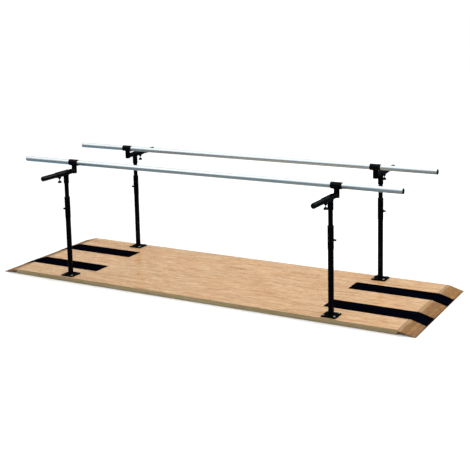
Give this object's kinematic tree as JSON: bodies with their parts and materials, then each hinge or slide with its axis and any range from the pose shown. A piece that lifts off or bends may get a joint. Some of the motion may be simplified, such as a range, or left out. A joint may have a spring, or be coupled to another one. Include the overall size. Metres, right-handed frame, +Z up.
{
  "type": "parallel bars",
  "caption": "Platform-mounted walking-training parallel bars: steel handrails on telescoping posts, adjustable in height and width, on a low ramped wooden deck.",
  "frame": {"origin": "on the floor under the middle of the platform", "axes": "+X along the handrails to the right, +Y across the platform to the far side, +Z up"},
  "size_m": [3.336, 1.424, 0.901],
  "materials": {
    "oak_laminate": "semi-gloss oak-pattern laminate",
    "plywood": "bare plywood and softwood",
    "edge_wood": "olive-brown lacquered edge board",
    "ramp_wood": "stained hardwood board",
    "grip_rubber": "ribbed matte strip",
    "black_paint": "gloss black powder coat",
    "stainless": "satin stainless steel",
    "bright_steel": "zinc-bright steel",
    "black_plastic": "moulded black plastic",
    "knob_plastic": "glossy black knob",
    "black_nylon": "black nylon"
  },
  "bodies": {
    "platform": {"deck_panel": "plywood", "deck_laminate": "oak_laminate", "cross_battens": "plywood", "edge_boards": "edge_wood", "anchor_bolts": "bright_steel", "guide_bushes": "black_nylon", "height_plunger_barrels": "black_paint", "height_plunger_springs": "bright_steel", "ramp_left": "ramp_wood", "ramp_right": "ramp_wood", "grip_strips_left": "grip_rubber", "grip_strips_right": "grip_rubber", "base_plate_left_near": "black_paint", "base_plate_left_far": "black_paint", "base_plate_right_near": "black_paint", "base_plate_right_far": "black_paint", "outer_post_left_near": "black_paint", "outer_post_left_far": "black_paint", "outer_post_right_near": "black_paint", "outer_post_right_far": "black_paint", "post_collar_left_near": "black_paint", "post_collar_left_far": "black_paint", "post_collar_right_near": "black_paint", "post_collar_right_far": "black_paint"},
    "near_heads": {"inner_post_left_near": "black_paint", "inner_post_right_near": "black_paint", "tee_head_left_near": "black_paint", "tee_head_right_near": "black_paint", "width_plunger_barrels_near": "black_paint", "width_plunger_springs_near": "bright_steel"},
    "near_rail": {"cross_arm_left_near": "black_paint", "cross_arm_right_near": "black_paint", "saddle_left_near": "black_paint", "saddle_right_near": "black_paint", "handrail_near": "stainless", "rail_caps_near": "black_plastic", "arm_caps_near": "black_plastic", "saddle_screws_near": "bright_steel"},
    "far_heads": {"inner_post_left_far": "black_paint", "inner_post_right_far": "black_paint", "tee_head_left_far": "black_paint", "tee_head_right_far": "black_paint", "width_plunger_barrels_far": "black_paint", "width_plunger_springs_far": "bright_steel"},
    "far_rail": {"cross_arm_left_far": "black_paint", "cross_arm_right_far": "black_paint", "saddle_left_far": "black_paint", "saddle_right_far": "black_paint", "handrail_far": "stainless", "rail_caps_far": "black_plastic", "arm_caps_far": "black_plastic", "saddle_screws_far": "bright_steel"},
    "height_plunger_left_near": {"height_plunger_left_near": "knob_plastic"},
    "height_plunger_left_far": {"height_plunger_left_far": "knob_plastic"},
    "height_plunger_right_near": {"height_plunger_right_near": "knob_plastic"},
    "height_plunger_right_far": {"height_plunger_right_far": "knob_plastic"},
    "width_plunger_left_near": {"width_plunger_left_near": "knob_plastic"},
    "width_plunger_left_far": {"width_plunger_left_far": "knob_plastic"},
    "width_plunger_right_near": {"width_plunger_right_near": "knob_plastic"},
    "width_plunger_right_far": {"width_plunger_right_far": "knob_plastic"}
  },
  "joints": [
    {"name": "near_height", "type": "slide", "parent": "platform", "child": "near_heads", "axis": [0, 0, 1], "range_m": [-0.09, 0.24]},
    {"name": "near_width", "type": "slide", "parent": "near_heads", "child": "near_rail", "axis": [0, -1, 0], "range_m": [-0.12, 0.04]},
    {"name": "far_height", "type": "slide", "parent": "platform", "child": "far_heads", "axis": [0, 0, 1], "range_m": [-0.09, 0.24]},
    {"name": "far_width", "type": "slide", "parent": "far_heads", "child": "far_rail", "axis": [0, 1, 0], "range_m": [-0.12, 0.04]},
    {"name": "height_plunger_left_near_pull", "type": "slide", "parent": "platform", "child": "height_plunger_left_near", "axis": [-1, 0, 0], "range_m": [0, 0.005], "stiffness_N_per_m": 1500, "springref_m": -0.005},
    {"name": "height_plunger_left_far_pull", "type": "slide", "parent": "platform", "child": "height_plunger_left_far", "axis": [-1, 0, 0], "range_m": [0, 0.005], "stiffness_N_per_m": 1500, "springref_m": -0.005},
    {"name": "height_plunger_right_near_pull", "type": "slide", "parent": "platform", "child": "height_plunger_right_near", "axis": [1, 0, 0], "range_m": [0, 0.005], "stiffness_N_per_m": 1500, "springref_m": -0.005},
    {"name": "height_plunger_right_far_pull", "type": "slide", "parent": "platform", "child": "height_plunger_right_far", "axis": [1, 0, 0], "range_m": [0, 0.005], "stiffness_N_per_m": 1500, "springref_m": -0.005},
    {"name": "width_plunger_left_near_pull", "type": "slide", "parent": "near_heads", "child": "width_plunger_left_near", "axis": [0, 0, -1], "range_m": [0, 0.005], "stiffness_N_per_m": 1500, "springref_m": -0.005},
    {"name": "width_plunger_left_far_pull", "type": "slide", "parent": "far_heads", "child": "width_plunger_left_far", "axis": [0, 0, -1], "range_m": [0, 0.005], "stiffness_N_per_m": 1500, "springref_m": -0.005},
    {"name": "width_plunger_right_near_pull", "type": "slide", "parent": "near_heads", "child": "width_plunger_right_near", "axis": [0, 0, -1], "range_m": [0, 0.005], "stiffness_N_per_m": 1500, "springref_m": -0.005},
    {"name": "width_plunger_right_far_pull", "type": "slide", "parent": "far_heads", "child": "width_plunger_right_far", "axis": [0, 0, -1], "range_m": [0, 0.005], "stiffness_N_per_m": 1500, "springref_m": -0.005}
  ]
}
